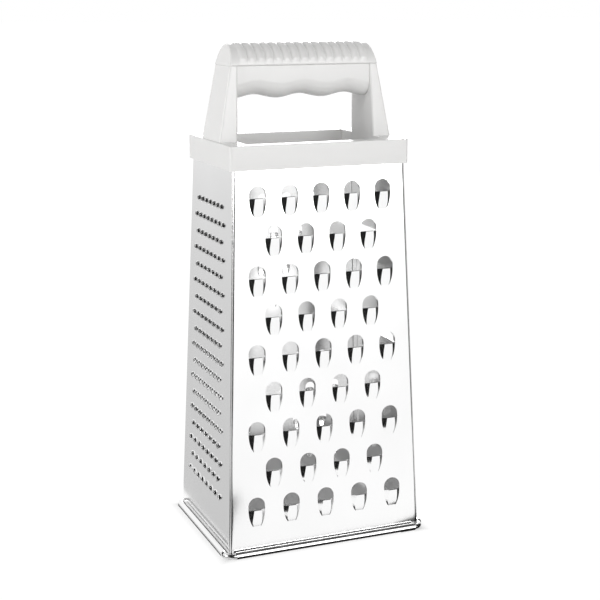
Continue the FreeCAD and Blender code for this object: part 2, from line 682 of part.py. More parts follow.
def ribbed_arch():
    """The cover's outer form: each rib rises to a crest between two valleys, and fades at the seam."""
    half_length = size["gap_head"] / 2 + size["leg_head"]
    half_depth = size["leg_head_depth"] / 2
    valley, crest = size["cover_rise"], size["cover_rise"] + size["rib_rise"]
    ribs, pitch = int(size["rib_count"]), size["rib_pitch"]
    stations = [(-half_length, valley)]
    for rib in range(ribs):
        middle = (rib - (ribs - 1) / 2) * pitch
        stations += [(middle - pitch / 2, valley), (middle, crest)]
    stations += [(ribs * pitch / 2, valley), (half_length, valley)]
    sections = [arch_section(x, half_depth, rise) for x, rise in stations]
    return solid_object("ribbed_arch", faceted_solid(sections, twisted=True))


def inside_arch():
    """The cover's hollow, before its ends are trimmed."""
    half_length = size["gap_head"] / 2
    rise = size["cover_rise"] - size["cover_wall"]
    sections = [arch_section(x, inside_depth, rise) for x in (-half_length, half_length)]
    return solid_object("inside_arch", faceted_solid(sections))


def cover_tab(name, end, side):
    """A tab under the cover, standing inside the hollow grip against its wall."""
    near, far = "Sizes.tab_inner", "Sizes.tab_outer"
    if side < 0:
        near, far = "-" + far, "-" + near
    middle = f"{end} * Sizes.tab_spread / 2"
    low = (f"{middle} - Sizes.tab_length / 2", near, "Sizes.seam_height - Sizes.tab_depth")
    high = (f"{middle} + Sizes.tab_length / 2", far, "Sizes.seam_height + Sizes.tab_root")
    return block(name, low, high)


def trimmed_arch(name, whole, inset):
    """An arch with ends that lean as the legs do, set back from the legs' outer faces by inset."""
    half_length = f"(Sizes.gap_head / 2 + Sizes.leg_head - {inset})"
    lean = "((Sizes.gap_foot - Sizes.gap_head) / 2 + Sizes.leg_foot - Sizes.leg_head) / Sizes.leg_height"
    rise = "(Sizes.cover_rise + Sizes.rib_rise + Sizes.overrun)"
    half_top = f"({half_length} - {lean} * {rise})"
    half_depth = "Sizes.leg_head_depth"
    ends = tapered_block(name + "_ends", "Sizes.seam_height", ("-" + half_length, half_length, half_depth),
                         rise, ("-" + half_top, half_top, half_depth))
    trimmed = doc.addObject("Part::Common", name)
    trimmed.Base = whole
    trimmed.Tool = ends
    return trimmed


def grip_cover():
    """The ribbed cover: a hollow arch with leaning ends, and tabs that snap into the grip."""
    outside = trimmed_arch("cover_outside", ribbed_arch(), "0")
    inside = trimmed_arch("cover_inside", inside_arch(), "Sizes.leg_head")
    shell = boolean("Cut", "cover_shell", outside, [inside])
    tabs = [cover_tab(f"tab_{index}", end, side)
            for index, (end, side) in enumerate(((-1, -1), (-1, 1), (1, -1), (1, 1)))]
    cover = boolean("Fuse", "grip_cover", shell, tabs)
    cover.Label = "grip_cover"
    return cover


def build():
    pieces = [
        punched_panel("coarse_panel", coarse_face, True, scoop_pair("coarse"), tooth_places(coarse_face)),
        punched_panel("shred_panel", shred_face, True, scoop_pair("shred"), tooth_places(shred_face)),
        punched_panel("fine_panel", fine_face, False, burr_pair(), fine_places()),
        punched_panel("slice_panel", slice_face, False, scoop_pair("slice"), slice_places()),
        rim_wire(),
        handle_frame(),
        grip_cover(),
    ]
    doc.recompute()
    return pieces


def check(pieces):
    """Stop before anything is written if a feature failed or a piece isn't one sound solid."""
    failed = [item.Name for item in doc.Objects if {"Invalid", "Error"} & set(item.State)]
    if failed:
        raise RuntimeError("failed features: " + ", ".join(failed))
    for piece in pieces:
        shape = piece.Shape
        if shape.isNull() or not shape.isValid() or len(shape.Solids) != 1:
            raise RuntimeError(f"{piece.Label} isn't one sound solid")


def export(pieces):
    os.makedirs("parts", exist_ok=True)
    for piece in pieces:
        piece.Shape.exportStep(f"parts/{piece.Label}.step")
        box = piece.Shape.BoundBox
        print(f"{piece.Label}: {box.XLength:.1f} x {box.YLength:.1f} x {box.ZLength:.1f} mm,"
              f" {piece.Shape.Volume / 1000:.2f} cm3")


grater = build()
check(grater)
export(grater)
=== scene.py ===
# %% [markdown]
# # A box grater, dressed in steel and plastic
# The part arrives as solids: four punched panels, a wire rim, a handle and its cover.
# This lesson keeps their places and sizes and remakes each one with soft edges and real finishes.
# Lengths are written in millimetres, as on a maker's drawing, and each piece is scaled to metres at its end.

# %% Load the frame
import math

import bmesh
import bpy
from mathutils import Matrix, Vector


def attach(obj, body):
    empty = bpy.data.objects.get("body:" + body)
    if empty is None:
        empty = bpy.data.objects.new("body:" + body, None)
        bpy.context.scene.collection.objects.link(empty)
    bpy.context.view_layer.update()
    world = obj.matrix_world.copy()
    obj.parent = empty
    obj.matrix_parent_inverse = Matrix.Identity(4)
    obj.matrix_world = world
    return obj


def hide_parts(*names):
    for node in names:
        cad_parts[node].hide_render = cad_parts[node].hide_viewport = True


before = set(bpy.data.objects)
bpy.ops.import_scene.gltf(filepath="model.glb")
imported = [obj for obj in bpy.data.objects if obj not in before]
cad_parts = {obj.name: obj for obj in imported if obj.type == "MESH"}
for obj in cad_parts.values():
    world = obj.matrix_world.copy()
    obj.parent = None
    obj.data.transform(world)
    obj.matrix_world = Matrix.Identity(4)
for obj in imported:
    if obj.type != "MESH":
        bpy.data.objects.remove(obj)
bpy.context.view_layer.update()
MM = 0.001
print("nodes:", sorted(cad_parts))

# %% [markdown]
# ## Camera
# A product photograph like this one is taken from a little above, with a long lens.
# The angle, distance and focal length were worked out from the corners of the body and the collar.
# A camera looks along its own -Z, so its axes are built from the direction back to the lens.

# %% Camera
azimuth, elevation, roll = -0.387904, 0.225376, -0.0012
distance, focal_pixels, frame_pixels = 644.8, 1305.3, 600
aim_height, aim_right = 113.81, 1.495
back = Vector((math.sin(azimuth) * math.cos(elevation), -math.cos(azimuth) * math.cos(elevation),
               math.sin(elevation)))
right = Vector((math.cos(azimuth), math.sin(azimuth), 0))
up = back.cross(right)
target = Vector((0, 0, aim_height)) + aim_right * right
camera = bpy.data.objects.new("camera", bpy.data.cameras.new("camera"))
bpy.context.scene.collection.objects.link(camera)
turned = Matrix((right, up, back)).transposed().to_4x4() @ Matrix.Rotation(roll, 4, "Z")
camera.matrix_world = Matrix.Translation((target + distance * back) * MM) @ turned
camera.data.sensor_fit = "HORIZONTAL"
camera.data.angle = 2 * math.atan(frame_pixels / 2 / focal_pixels)
camera.data.clip_start = 0.01
bpy.context.scene.camera = camera
print("lens", round(camera.data.lens, 1), "mm")

# %% [markdown]
# ## Helpers for modelling by hand
# Operators act on what is selected, so every piece starts with nothing selected.
# Inside edit mode, vertices, edges or faces are picked by where they are.
# Two places count as the same when they are nearer than a hair, which the first line sets.

# %% Helpers for selecting
near, touching = 0.01, 0.001


def clear_selection():
    """Leave edit mode and select nothing."""
    if bpy.context.mode != "OBJECT":
        bpy.ops.object.mode_set(mode="OBJECT")
    bpy.ops.object.select_all(action="DESELECT")


def only(piece):
    """Make a piece the only selected one, in object mode."""
    clear_selection()
    piece.select_set(True)
    bpy.context.view_layer.objects.active = piece


def reopen(piece):
    """Open a piece in edit mode."""
    only(piece)
    bpy.ops.object.mode_set(mode="EDIT")


def fresh(name, add, **settings):
    """Add a primitive and open it in edit mode, with all of it selected."""
    clear_selection()
    add(**settings)
    piece = bpy.context.object
    piece.name = piece.data.name = name
    reopen(piece)
    bpy.ops.mesh.select_all(action="SELECT")
    return piece


def select_where(kind, test):
    """Select only the vertices, edges or faces of the open piece that pass a test."""
    bpy.ops.mesh.select_mode(type=kind)
    bpy.ops.mesh.select_all(action="DESELECT")
    mesh = bmesh.from_edit_mesh(bpy.context.object.data)
    items = {"VERT": mesh.verts, "EDGE": mesh.edges, "FACE": mesh.faces}[kind]
    for item in [item for item in items if test(item)]:
        item.select_set(True)
    bmesh.update_edit_mesh(bpy.context.object.data)


def pick(kind, test):
    """Select the vertices, edges or faces whose corners all pass a test of their place."""
    select_where(kind, lambda item: all(test(corner.co) for corner in getattr(item, "verts", [item])))


def pick_edges(test):
    """Select the edges that pass a test of their middle and direction."""
    def passes(edge):
        start, end = (corner.co for corner in edge.verts)
        return test((start + end) / 2, (end - start).normalized())

    select_where("EDGE", passes)


# %% Helpers for shaping
def grow(x=1, y=1, z=1, about=(0, 0, 0)):
    bpy.ops.transform.resize(value=(x, y, z), center_override=about)


def shift(x=0, y=0, z=0):
    bpy.ops.transform.translate(value=(x, y, z))


def pull(x=0, y=0, z=0):
    """Extrude what is selected, and leave the new end selected."""
    bpy.ops.mesh.extrude_region_move(TRANSFORM_OT_translate={"value": (x, y, z)})


def round_off(offset, segments):
    """Bevel the selected edges."""
    bpy.ops.mesh.bevel(offset=offset, segments=segments)


def cut_across(place, normal, keep_behind=False):
    """Cut the whole mesh at a plane; with keep_behind, drop what lies ahead of it and close the cut."""
    bpy.ops.mesh.select_all(action="SELECT")
    bpy.ops.mesh.bisect(plane_co=place, plane_no=normal, use_fill=keep_behind, clear_outer=keep_behind,
                        threshold=1e-6)


def face_outwards():
    """Merge doubled vertices, then turn every face outwards."""
    bpy.ops.mesh.select_all(action="SELECT")
    bpy.ops.mesh.remove_doubles(threshold=0.0005)
    bpy.ops.mesh.select_all(action="SELECT")
    bpy.ops.mesh.normals_make_consistent(inside=False)


# %% [markdown]
# Whole shapes are finished with modifiers that are applied at once, as with Apply in the modifier's menu.
# Pieces are united and cut with the exact solver, which is slower but keeps thin sheet closed.
# What repeats is modelled once and duplicated, each copy with its own mesh.

# %% Helpers for finished shapes
def modify(piece, kind, **settings):
    """Add a modifier, set it and apply it."""
    only(piece)
    modifier = piece.modifiers.new(kind.lower(), kind)
    for name, value in settings.items():
        setattr(modifier, name, value)
    bpy.ops.object.modifier_apply(modifier=modifier.name)
    return piece


def combine(piece, operation, other):
    """Unite another closed piece with this one, or cut it out; the other piece is used up."""
    modify(piece, "BOOLEAN", operation=operation, object=other, solver="EXACT")
    bpy.data.objects.remove(other)
    return piece


def joined(pieces):
    """Several pieces as one object."""
    only(pieces[0])
    for piece in pieces:
        piece.select_set(True)
    if len(pieces) > 1:
        bpy.ops.object.join()
    bpy.ops.object.transform_apply(location=True, rotation=True, scale=True)
    return bpy.context.object


def copies_at(piece, places):
    """Copies of a piece at each place, as one object; the piece itself is used up."""
    made = []
    for place in places:
        only(piece)
        bpy.ops.object.duplicate(linked=False)
        bpy.context.object.location = place
        made.append(bpy.context.object)
    bpy.data.objects.remove(piece)
    return joined(made)


def settle(piece, matrix=None):
    """Set a piece where it belongs, in metres, with its place in its mesh."""
    only(piece)
    piece.matrix_world = Matrix.Scale(MM, 4) @ (matrix or Matrix())
    bpy.ops.object.transform_apply(location=True, rotation=True, scale=True)
    return piece


def soften(piece, angle=35):
    """Smooth shading that keeps edges sharper than the angle, with broad faces left flat."""
    only(piece)
    bpy.ops.object.shade_smooth_by_angle(angle=math.radians(angle))
    modify(piece, "WEIGHTED_NORMAL", keep_sharp=True, weight=75)
    lengths = [round(length / MM, 2) for length in piece.dimensions]
    print(piece.name, len(piece.data.polygons), "faces,", lengths, "mm")


# %% [markdown]
# ## Sizes of the body
# The four sides lean inwards, so each panel has its own drawing plane: X across, Y up the slope, Z outwards.
# A small class holds a side's lean and its width at any height, and the matrix that stands it up.

# %% Sides
sheet, overrun = 0.5, 1.0
base_width, base_depth, top_width, top_depth, top_height = 100.0, 75.0, 86.0, 59.0, 183.0
wire_radius, wire_gap, wire_height, wire_bend = 1.3, 0.1, 1.75, 4.3
roll_inner = wire_radius + wire_gap
panel_top, weld_gap, narrow_set_back = 192.3, 0.05, 0.6


class Side:
    """One side of the body, drawn flat."""

    def __init__(self, base, top, stand, lean_run, set_back, turn):
        self.lean = math.atan2(lean_run, top_height)
        self.half_base = base / 2 - set_back
        self.narrowing = (base - top) / 2 / top_height * math.cos(self.lean)
        self.low = (wire_height - roll_inner * math.sin(self.lean)) / math.cos(self.lean)
        self.high = panel_top / math.cos(self.lean)
        self.roll_half = base / 2 - wire_bend + roll_inner
        self.wire_reach = stand - self.low * math.sin(self.lean) + roll_inner * math.cos(self.lean)
        raised = Matrix.Rotation(math.pi / 2 - self.lean, 4, "X")
        standing = Matrix.Translation((0, -stand, 0)) @ raised
        self.matrix = Matrix.Rotation(math.radians(turn), 4, "Z") @ standing

    def half(self, along):
        """Half of the sheet's width, at a place along the slope from the floor."""
        return self.half_base - self.narrowing * along


wide_run, narrow_run = (base_depth - top_depth) / 2, (base_width - top_width) / 2
lap = (sheet + weld_gap) / math.cos(math.atan2(narrow_run, top_height))
front_side = Side(base_width, top_width, base_depth / 2, wide_run, lap, 0)
back_side = Side(base_width, top_width, base_depth / 2, wide_run, lap, 180)
left_side = Side(base_depth, top_depth, base_width / 2, narrow_run, narrow_set_back, -90)
right_side = Side(base_depth, top_depth, base_width / 2, narrow_run, narrow_set_back, 90)
print("lean", round(math.degrees(front_side.lean), 2), round(math.degrees(left_side.lean), 2), "degrees")

# %% [markdown]
# ## The bare sheets
# Each panel is cut from thin sheet. The wide ones have a flange bent back along both sides,
# which the narrow ones are welded to, and every lower edge is rolled outwards round the wire.
# A plane is tapered, its sides are extruded and the bends bevelled, and Spin rolls the lower edge.
# Solidify then gives the sheet its thickness on the inner side,
# and the long edges of a narrow panel, which show at the body's corners, are rounded.

# %% Bare sheet
flange, bend_radius, roll_turn, edge_round = 5.0, 0.9, 275, 0.38


def bare_sheet(name, side, flanged):
    """A panel without teeth, lying in its drawing plane."""
    piece = fresh(name, bpy.ops.mesh.primitive_plane_add, size=1)
    low, high = side.low, side.high
    halfway, edge = (low + high) / 2, side.half(high) - 1
    grow(2 * side.half(low), high - low, 1)
    shift(y=halfway)
    pick("VERT", lambda co: co.y > halfway)
    grow(x=side.half(high) / side.half(low), about=(0, high, 0))
    if flanged:
        for hand in (-1, 1):
            pick("EDGE", lambda co: co.x * hand > edge and abs(co.z) < 0.1)
            pull(z=-flange)
            pick("EDGE", lambda co: co.x * hand > edge and abs(co.z) < 0.1)
            round_off(bend_radius, 4)
    for hand in (-1, 1):
        cut_across((hand * side.roll_half, 0, 0), (1, 0, 0))
    pick("EDGE", lambda co: co.y < low + near and abs(co.z) < near and abs(co.x) < side.roll_half + near)
    bpy.ops.mesh.spin(steps=28, angle=math.radians(roll_turn), center=(0, low, roll_inner), axis=(1, 0, 0))
    face_outwards()
    only(piece)
    if max(piece.data.polygons, key=lambda face: face.area).normal.z < 0:
        reopen(piece)
        bpy.ops.mesh.select_all(action="SELECT")
        bpy.ops.mesh.flip_normals()
    modify(piece, "SOLIDIFY", thickness=sheet, offset=-1, use_even_offset=True)
    if not flanged:
        reopen(piece)
        pick_edges(lambda middle, along: abs(along.y) > 0.9 and abs(middle.z) < near and middle.y > low
                   and abs(abs(middle.x) - side.half(middle.y)) < 0.05)
        round_off(edge_round, 3)
        only(piece)
    return piece


def press_flat(piece):
    """Flatten the underside of the roll where the grater stands."""
    reopen(piece)
    cut_across((0, 0, 0), (0, 0, -1), keep_behind=True)
    only(piece)


# %% [markdown]
# ## Punched teeth
# A coarse tooth is a scoop pressed out of the sheet below a round opening: a flat tongue with steep flanks.
# One block is made from a cube whose end is extruded in steps, each a little lower and narrower.
# The same block, thinner by the sheet on every face, is the hollow behind the tooth.

# %% Scoop
# From lip to tip: place along the scoop, its width at the sheet, its height
scoop_shares = ((0.0, 1.0, 1.0), (0.15, 0.985, 0.89), (0.3, 0.95, 0.77), (0.45, 0.89, 0.63), (0.6, 0.8, 0.46),
                (0.73, 0.69, 0.29), (0.85, 0.54, 0.12), (0.94, 0.4, -0.02), (1.0, 0.24, -0.12))
shoulder_round, least_foot, least_top = 0.18, 0.2, 0.15


def scoop_block(name, width, flat, rise, length, thinned=0, depth=0.4, lead=0, ground=0):
    """A scoop with its lip at y = 0, thinned on each face, sunk under the sheet, its lip ground."""
    run = (width - flat) / 2 / rise
    rings = []
    for place, wide, share in scoop_shares:
        half, high = wide * width / 2 - thinned * math.hypot(1, run), share * rise - thinned
        foot, top = max(half, least_foot) + depth * run, max(half - high * run, least_top)
        rings.append((-place * length, foot, top, high))
    (_, foot, top, high), second = rings[0], rings[1][0]
    piece = fresh(name, bpy.ops.mesh.primitive_cube_add, size=1)
    shift(y=-0.5, z=0.5)
    grow(1, lead - second, high + depth)
    shift(y=lead, z=-depth)
    pick("VERT", lambda co: co.z < 0)
    grow(x=2 * foot)
    pick("VERT", lambda co: co.z > 0)
    grow(x=2 * top)
    for hand in (-1, 1):
        pick("EDGE", lambda co: co.z > high - near and co.x * hand > top / 2)
        round_off(shoulder_round, 3)
    for before, after in zip(rings, rings[1:]):
        if after is not rings[1]:
            pick("FACE", lambda co: co.y < before[0] + near)
            pull(y=after[0] - before[0])
        pick("VERT", lambda co: co.y < after[0] + near and co.z > 0.05 - depth)
        grow(x=after[2] / before[2])
        shift(z=after[3] - before[3])
        pick("VERT", lambda co: co.y < after[0] + near and co.z < 0.05 - depth)
        grow(x=after[1] / before[1])
    if ground:
        pick("EDGE", lambda co: co.y > lead - near and co.z > high - 0.25)
        round_off(ground, 1)
    face_outwards()
    only(piece)
    return piece


# %% [markdown]
# The opening over a tooth is made by a punch. For a round top, half a cylinder is kept
# and its flat side is drawn down to the lip; for a slot, a cube's upper corners are rounded.
# The punch's lower face leans, so that the lip is cut square to the tongue, as a grinding wheel leaves it.

# %% Openings
def lean_lip(below, above, lean):
    """Lean the lower face of the open punch, from below the sheet to above the tooth."""
    for upper, run in ((False, -below * lean), (True, above * lean)):
        pick("VERT", lambda co: abs(co.y) < touching and (co.z > 0) == upper)
        shift(y=run)


def round_opening(name, width, height, below, above, lean=0):
    """The punch for an opening with a round top."""
    half = width / 2
    piece = fresh(name, bpy.ops.mesh.primitive_cylinder_add, vertices=48, radius=half, depth=below + above)
    centre = height - half
    shift(y=centre, z=(above - below) / 2)
    cut_across((0, centre, 0), (0, -1, 0), keep_behind=True)
    pick("FACE", lambda co: abs(co.y - centre) < touching)
    pull(y=-centre)
    lean_lip(below, above, lean)
    face_outwards()
    only(piece)
    return piece


def slot_opening(name, width, height, below, above, lean=0):
    """The punch for a long slot with rounded upper corners."""
    piece = fresh(name, bpy.ops.mesh.primitive_cube_add, size=1)
    shift(y=0.5)
    grow(width, height, below + above)
    shift(z=(above - below) / 2)
    pick_edges(lambda middle, along: middle.y > height - near and abs(along.z) > 0.9)
    round_off(height / 2, 8)
    lean_lip(below, above, lean)
    only(piece)
    return piece


# %% [markdown]
# A tooth is a pair: the bump that is united with the sheet, and the punch that is then cut out of it.
# A coarse opening also has a rim drawn inwards, which is united with its bump before the punch goes through.

# %% Tooth
rim_wall, rim_sunk, lip_ground, lip_spare = 0.4, 0.2, 0.3, 0.05


def tooth(name, opening, width, flat, rise, length, height, drawn=0):
    """One tooth's bump and punch; drawn is how far the rim inside the opening reaches in."""
    below, lean = sheet + drawn + overrun, rise / length
    bump = scoop_block(name + "_bump", width, flat, rise, length, lead=rise * lean + lip_spare,
                       ground=lip_ground)
    if drawn:
        rim = round_opening(name + "_rim", width + 2 * rim_wall, height + rim_wall, sheet + drawn, -rim_sunk)
        bump = combine(bump, "UNION", rim)
    hollow = scoop_block(name + "_hollow", width, flat, rise, length, thinned=sheet, depth=below, lead=sheet)
    punch = combine(opening(name + "_opening", width, height, below, rise + overrun, lean), "UNION", hollow)
    print(name, "bump", len(bump.data.polygons), "faces, punch", len(punch.data.polygons))
    return bump, punch


# %% [markdown]
# ## Fine burrs
# The fine side is pierced from behind by a point, which tears the sheet into a small standing crown.
# A cone with eight corners is enough for one: half of its top is torn lower than the rest,
# and the middle is poked down, so that the round punch leaves a thin sharp rim.

# %% Burr
def burr():
    """One burr's bump and punch."""
    rise, root, foot, hole = 0.8, 0.4, 1.75, 1.3
    torn, poked, punch_radius = 0.25 * rise, 0.4 * rise, 0.8 * hole
    bump = fresh("burr_bump", bpy.ops.mesh.primitive_cone_add, vertices=8, radius1=foot, radius2=hole,
                 depth=rise + root, rotation=(0, 0, math.pi / 8))
    shift(z=(rise - root) / 2)
    pick("VERT", lambda co: co.x * co.y > 0 and co.z > 0)
    shift(z=-torn)
    pick("FACE", lambda co: co.z > 0)
    bpy.ops.mesh.poke()
    pick("VERT", lambda co: math.hypot(co.x, co.y) < 0.2 and co.z > 0)
    shift(z=-poked)
    face_outwards()
    only(bump)
    bpy.ops.object.transform_apply(location=True, rotation=True, scale=True)
    punch = fresh("burr_punch", bpy.ops.mesh.primitive_cylinder_add, vertices=8, radius=punch_radius,
                  depth=2 * (rise + sheet + overrun))
    only(punch)
    print("burr bump", len(bump.data.polygons), "faces, punch", len(punch.data.polygons))
    return bump, punch


# %% [markdown]
# ## Panels
# The press sets teeth in rows, every other row with one less, so that no strip of food slips between them.
# All bumps of a panel are joined and united with the sheet in one go, then all punches are cut out in one go,
# because each boolean on thin sheet takes a while. The panel is then stood up on its side of the body.

# %% Rows and panels
def staggered(side, rows, columns, lowest, row_pitch, pitch_share, offset=0):
    """Places in rows that narrow with the panel, every other row with one tooth less."""
    places = []
    for row in range(rows):
        along = lowest + row * row_pitch
        pitch = pitch_share * 2 * side.half(along)
        in_row = columns - row % 2
        places += [((column - (in_row - 1) / 2) * pitch + offset, along, 0) for column in range(in_row)]
    return places


def punched_panel(node, side, flanged, pair, places):
    """A whole panel: bare sheet, bumps raised on it, openings punched through, then stood up."""
    bump, punch = pair
    panel = bare_sheet(node + "_steel", side, flanged)
    combine(panel, "UNION", copies_at(bump, places))
    combine(panel, "DIFFERENCE", copies_at(punch, places))
    settle(panel, side.matrix)
    press_flat(panel)
    soften(panel)
    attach(panel, "root")
    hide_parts(node)
    return panel


# %% [markdown]
# The front panel grates coarsely: large scoops in rows of five and four, with rims drawn in behind them.

# %% Coarse panel
coarse_tooth = tooth("coarse_tooth", round_opening, width=8.4, flat=3.9, rise=1.9, length=9.3, height=6.0,
                     drawn=1.2)
coarse_places = staggered(front_side, rows=9, columns=5, lowest=22.6, row_pitch=18.46, pitch_share=0.183)
coarse_panel = punched_panel("coarse_panel", front_side, True, coarse_tooth, coarse_places)
print(len(coarse_places), "coarse teeth")

# %% [markdown]
# The back panel shreds: the same scoop at a smaller size, without the inner rim, in rows of six and five.

# %% Shred panel
shred_tooth = tooth("shred_tooth", round_opening, width=5.0, flat=2.6, rise=1.3, length=5.6, height=3.6)
shred_places = staggered(back_side, rows=9, columns=6, lowest=22.01, row_pitch=17.21, pitch_share=0.15)
shred_panel = punched_panel("shred_panel", back_side, True, shred_tooth, shred_places)
print(len(shred_places), "shredding teeth")

# %% [markdown]
# The left panel grates finely: rows of eight and seven burrs, set a little towards the back edge.
# There are so many of them that each has only a few dozen faces.

# %% Fine panel
fine_places = staggered(left_side, rows=18, columns=8, lowest=25.6, row_pitch=8.2, pitch_share=0.0915,
                        offset=-1.4)
fine_panel = punched_panel("fine_panel", left_side, False, burr(), fine_places)
print(len(fine_places), "burrs")

# %% [markdown]
# The right panel slices: three wide blades, which are the same scoop made broad and flat under a long slot.

# %% Slice panel
slice_blade = tooth("slice_blade", slot_opening, width=46.0, flat=41.6, rise=2.2, length=12.0, height=6.0)
slice_places = [(0, along, 0) for along in (40, 90, 140)]
slice_panel = punched_panel("slice_panel", right_side, False, slice_blade, slice_places)
print(len(slice_places), "slicing blades")

# %% [markdown]
# ## Rim wire
# One steel wire runs round inside the rolled edges and shows only at the corners.
# A circle is extruded along each side and spun round each corner, as the wire itself is bent.
# It is modelled with its first run along Z, and turned flat when it is settled.

# %% Rim wire
reach_x, reach_y = left_side.wire_reach, front_side.wire_reach
run_x, run_y = reach_x - wire_bend, reach_y - wire_bend
rim_wire = fresh("rim_wire_steel", bpy.ops.mesh.primitive_circle_add, vertices=20, radius=wire_radius)
shift(x=reach_x, z=-run_y)
for step_x, step_z, corner_x, corner_z in ((0, 1, 1, 1), (-1, 0, -1, 1), (0, -1, -1, -1), (1, 0, 1, -1)):
    pull(x=2 * step_x * run_x, z=2 * step_z * run_y)
    corner = (corner_x * run_x, 0, corner_z * run_y)
    bpy.ops.mesh.spin(steps=8, angle=math.pi / 2, center=corner, axis=(0, 1, 0))
face_outwards()
turned_flat = Matrix(((1, 0, 0, 0), (0, 0, 1, 0), (0, -1, 0, wire_height), (0, 0, 0, 1)))
settle(rim_wire, turned_flat)
soften(rim_wire)
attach(rim_wire, "root")
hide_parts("rim_wire")

# %% [markdown]
# ## Handle
# Collar, legs and lower grip are one moulding in glossy plastic.
# Each is a block: edges are rounded on the block itself, and only then are the blocks united,
# so the inner corners stay crisp, as they do where one face of a mould meets another.

# %% Blocks
collar_low, collar_top, seam = 183.0, 194.4, 228.8
plate_under = 192.4


def block(name, foot, head, low, high):
    """A block whose foot and head are each (x start, x end, half depth), left open in edit mode."""
    piece = fresh(name, bpy.ops.mesh.primitive_cube_add, size=1)
    shift(z=0.5)
    grow(z=high - low)
    shift(z=low)
    halfway = (low + high) / 2
    for upper, (start, end, half) in ((False, foot), (True, head)):
        pick("VERT", lambda co: (co.z > halfway) == upper)
        grow(end - start, 2 * half, 1)
        shift(x=(start + end) / 2)
    return piece


def straight_block(name, half_x, half_y, low, high):
    """A block of the same outline all the way up."""
    return block(name, (-half_x, half_x, half_y), (-half_x, half_x, half_y), low, high)


print("handle from", collar_low, "to the seam at", seam, "mm")

# %% [markdown]
# The collar is a cap over the panels' upper edges: a plate with a skirt, and a window under the grip.
# Its block is rounded first. The seat for the panels is then cut from below,
# and the window's wall is united with the plate before the window goes through both.

# %% Collar
collar_x, collar_y = 44.6, 30.6
seat_x, seat_y = 43.1, 29.6
wall_x, wall_y, wall_low = 35.9, 25.6, 187.4
window_x, window_y = 34.5, 24.2
corner_round, top_round, low_round, window_round = 1.5, 0.5, 0.3, 0.4
handle = straight_block("handle_moulding", collar_x, collar_y, collar_low, collar_top)
pick_edges(lambda middle, along: abs(along.z) > 0.9)
round_off(corner_round, 5)
pick_edges(lambda middle, along: abs(along.z) < 0.1 and middle.z > collar_top - near)
round_off(top_round, 3)
pick_edges(lambda middle, along: abs(along.z) < 0.1 and middle.z < collar_low + near)
round_off(low_round, 2)
combine(handle, "DIFFERENCE", straight_block("seat", seat_x, seat_y, collar_low - 1, plate_under))
combine(handle, "UNION", straight_block("window_wall", wall_x, wall_y, wall_low, collar_top - 1))
combine(handle, "DIFFERENCE", straight_block("window", window_x, window_y, collar_low - 1, collar_top + 1))
reopen(handle)
pick_edges(lambda middle, along: middle.z > collar_top - near and abs(abs(middle.y) - window_y) < near)
round_off(window_round, 2)
only(handle)
print("collar", len(handle.data.polygons), "faces")

# %% [markdown]
# The legs lean in towards the grip and are hollow from below, so that the plastic cools evenly in the mould.
# Each is a block with a smaller head than foot, and a second, smaller block is cut out of it.

# %% Legs
# Inner face, outer face and half depth
leg_at_collar, leg_at_seam = (34.5, 43.5, 12.9), (33.35, 37.15, 10.75)
leg_root, core_low, core_high = collar_top - 1, plate_under - 0.5, 214
core_wall_low, core_wall_high, leg_round, head_round = 2, 1.6, 0.9, 0.2


def leg_outline(height, wall=0):
    """A leg's inner face, outer face and half depth at a height, each drawn in by a wall."""
    inner, outer, half = (low + (high - low) * (height - collar_top) / (seam - collar_top)
                          for low, high in zip(leg_at_collar, leg_at_seam))
    return inner + wall, outer - wall, half - wall


def mirrored(outline):
    return -outline[1], -outline[0], outline[2]


for turn in (mirrored, tuple):
    leg = block("leg", turn(leg_outline(leg_root)), turn(leg_outline(seam)), leg_root, seam)
    pick_edges(lambda middle, along: abs(along.z) > 0.9)
    round_off(leg_round, 4)
    pick_edges(lambda middle, along: middle.z > seam - near)
    round_off(head_round, 1)
    combine(handle, "UNION", leg)
    core_foot, core_head = leg_outline(core_low, core_wall_low), leg_outline(core_high, core_wall_high)
    core = block("core", turn(core_foot), turn(core_head), core_low, core_high)
    combine(handle, "DIFFERENCE", core)
print("collar and legs", len(handle.data.polygons), "faces")

# %% [markdown]
# The lower grip is a bar between the legs with a round underside, which dips between three finger grooves.
# The bar is cut across at many stations, and the lower part of each station is moved up or down along a wave.

# %% Grip
grip_half, grip_width, grip_under, grip_round, grip_wave, grooves = 34.2, 19.4, 214.3, 7.5, 0.9, 3
gap_length, stations, seam_round = 69, 48, 0.25
grip = straight_block("grip", grip_half, grip_width / 2, grip_under, seam)
pick_edges(lambda middle, along: middle.z < grip_under + near and abs(along.x) > 0.9)
round_off(grip_round, 10)
pick_edges(lambda middle, along: middle.z > seam - near and abs(along.x) > 0.9)
round_off(seam_round, 1)
places = [-grip_half + 2 * grip_half * step / stations for step in range(stations + 1)]
for x in places[1:-1]:
    cut_across((x, 0, 0), (1, 0, 0))
for x in places:
    pick("VERT", lambda co: abs(co.x - x) < 0.05 and co.z < seam - 4)
    shift(z=-grip_wave * math.cos(2 * math.pi * grooves * (x + gap_length / 2) / gap_length))
combine(handle, "UNION", grip)
print("handle", len(handle.data.polygons), "faces")

# %% [markdown]
# Under the collar's plate, eight fingers snap into the panels and hold them; they show only from below.
# A finger is a thin block, cut across twice near its foot, and the cut is drawn forwards into a barb.

# %% Snap hooks
barb_low, barb_high, barb_step, hook_half, finger_half = 184.2, 186.2, 0.05, 5.0, 0.7
